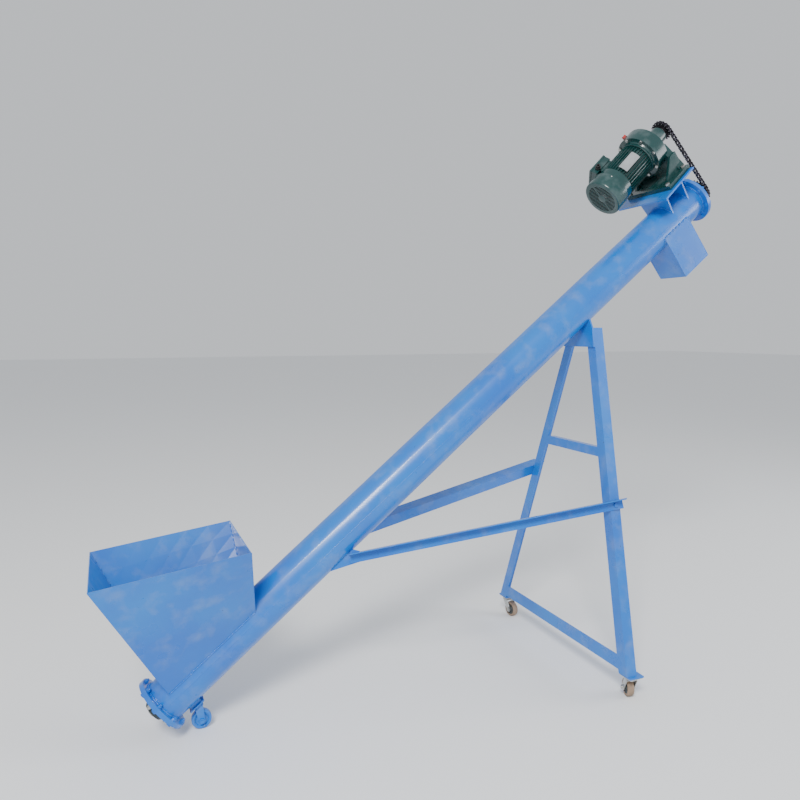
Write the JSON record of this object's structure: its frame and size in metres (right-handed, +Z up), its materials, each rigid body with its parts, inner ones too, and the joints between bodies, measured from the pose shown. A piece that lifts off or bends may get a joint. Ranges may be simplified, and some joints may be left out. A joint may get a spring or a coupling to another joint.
{
  "type": "grain auger",
  "caption": "Inclined grain auger: a screw in a tube with feed hopper, discharge spout, chain drive from a geared motor, and an A-frame with casters.",
  "frame": {"origin": "on the floor under the middle of the outline, halfway across the machine", "axes": "+X along the floor from the hopper end to the discharge end, +Y to the far side, +Z up"},
  "size_m": [2.7979, 1.022, 2.4766],
  "materials": {
    "paint_blue": "gloss",
    "paint_green": "gloss",
    "cast_dark": "satin",
    "bright_steel": "satin",
    "worn_steel": "satin",
    "chain_steel": "satin",
    "caster_steel": "satin",
    "wheel_tread": "matte",
    "seal_rubber": "matte",
    "black_plastic": "matte",
    "red_plastic": "gloss"
  },
  "bodies": {
    "machine": {"auger_tube": "paint_blue", "lower_tube_flange": "paint_blue", "upper_tube_flange": "paint_blue", "lower_end_plate": "paint_blue", "upper_end_plate": "paint_blue", "flange_bolts": "paint_blue", "hopper_low_panel": "paint_blue", "hopper_high_panel": "paint_blue", "hopper_near_panel": "paint_blue", "hopper_far_panel": "paint_blue", "spout_side_panels": "paint_blue", "spout_end_panels": "paint_blue", "lower_bearing_housing": "cast_dark", "upper_bearing_housing": "cast_dark", "bearing_bolts": "bright_steel", "bearing_balls": "bright_steel", "shaft_seals": "seal_rubber", "saddle_plate": "paint_blue", "near_leg": "paint_blue", "far_leg": "paint_blue", "upper_cross_bar": "paint_blue", "lower_cross_bar": "paint_blue", "foot_plates": "paint_blue", "near_brace": "paint_blue", "far_brace": "paint_blue", "brace_ears": "paint_blue", "brace_bolts": "bright_steel", "drive_base_plate": "paint_blue", "drive_gussets": "paint_blue", "reducer_housing": "paint_green", "reducer_gear_ring": "paint_green", "motor_adapter": "paint_green", "reducer_bolts": "bright_steel", "breather_plug": "red_plastic", "motor_frame": "paint_green", "motor_rear_shield": "paint_green", "fan_cover": "paint_green", "terminal_box": "paint_green", "cable_gland": "black_plastic", "drive_chain": "chain_steel", "front_caster_plate": "paint_blue", "rear_caster_plates": "caster_steel"},
    "screw": {"screw_core": "paint_blue", "screw_flighting": "worn_steel", "screw_journals": "bright_steel", "bearing_inner_rings": "bright_steel", "driven_sprocket": "cast_dark"},
    "output": {"output_shaft": "bright_steel", "drive_sprocket": "cast_dark"},
    "rotor": {"motor_rotor": "bright_steel", "cooling_fan": "black_plastic"},
    "front_swivel_body": {"front_fork": "paint_blue", "front_axle": "paint_blue"},
    "front_roll_body": {"front_wheel": "paint_blue"},
    "near_swivel_body": {"near_fork": "caster_steel", "near_axle": "caster_steel"},
    "near_roll_body": {"near_wheel": "wheel_tread"},
    "far_swivel_body": {"far_fork": "caster_steel", "far_axle": "caster_steel"},
    "far_roll_body": {"far_wheel": "wheel_tread"}
  },
  "joints": [
    {"name": "screw_spin", "type": "hinge", "parent": "machine", "child": "screw", "pos_m": [1.34772, 0, 2.1768], "axis": [0.776, 0, 0.6307], "continuous": true, "deforming": ["drive_chain"]},
    {"name": "output_spin", "type": "hinge", "parent": "machine", "child": "output", "pos_m": [1.1138, 0, 2.43569], "axis": [0.7059, 0, 0.7083], "continuous": true},
    {"name": "rotor_spin", "type": "hinge", "parent": "machine", "child": "rotor", "pos_m": [0.90203, 0, 2.22318], "axis": [0.7059, 0, 0.7083], "continuous": true},
    {"name": "near_swivel", "type": "hinge", "parent": "machine", "child": "near_swivel_body", "pos_m": [0.61869, -0.476, 0.0807], "axis": [0, 0, 1], "continuous": true},
    {"name": "near_roll", "type": "hinge", "parent": "near_swivel_body", "child": "near_roll_body", "pos_m": [0.62827, -0.44969, 0.0375], "axis": [-0.9397, 0.342, 0], "continuous": true},
    {"name": "far_swivel", "type": "hinge", "parent": "machine", "child": "far_swivel_body", "pos_m": [0.61869, 0.476, 0.0807], "axis": [0, 0, 1], "continuous": true},
    {"name": "far_roll", "type": "hinge", "parent": "far_swivel_body", "child": "far_roll_body", "pos_m": [0.62259, 0.44827, 0.0375], "axis": [0.9903, 0.1392, 0], "continuous": true},
    {"name": "front_swivel", "type": "hinge", "parent": "machine", "child": "front_swivel_body", "pos_m": [-1.04002, 0, 0.08814], "axis": [-0.6307, 0, 0.776], "continuous": true},
    {"name": "front_roll", "type": "hinge", "parent": "front_swivel_body", "child": "front_roll_body", "pos_m": [-1.03495, 0, 0.0375], "axis": [0, 1, 0], "continuous": true}
  ],
  "couplings": [
    {"joint": "output_spin", "follows": "screw_spin", "ratio": 1.3529},
    {"joint": "rotor_spin", "follows": "screw_spin", "ratio": -14.882}
  ]
}
